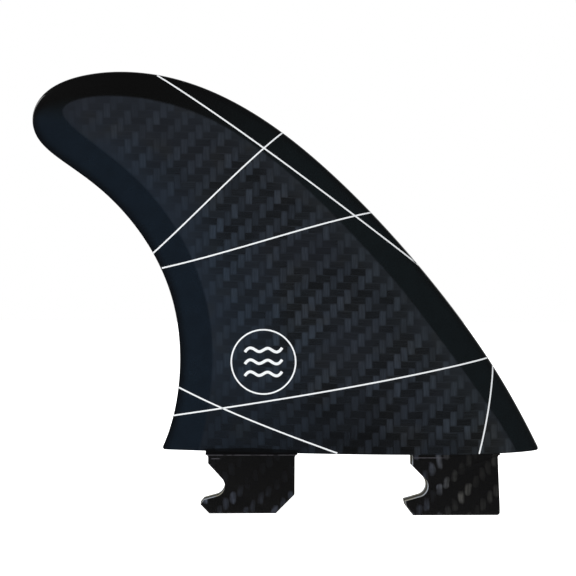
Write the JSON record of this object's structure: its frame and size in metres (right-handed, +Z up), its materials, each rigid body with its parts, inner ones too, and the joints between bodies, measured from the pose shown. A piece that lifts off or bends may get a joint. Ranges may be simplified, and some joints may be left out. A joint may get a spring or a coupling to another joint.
{
  "type": "surfboard fin",
  "caption": "Swept surfboard side fin in one moulded laminate: flat inner face, foiled outer face, and hooked base tabs that snap into a fin box.",
  "frame": {"origin": "middle of the blade's base on the board line, in the middle of the tabs' thickness", "axes": "+Z up the blade away from the board, +X forward to the leading edge, -Y out of the foiled outer face"},
  "size_m": [0.1551, 0.0072, 0.134],
  "materials": {
    "laminate": "clear gloss over carbon twill"
  },
  "bodies": {
    "root": {"fin": "laminate"}
  },
  "joints": []
}
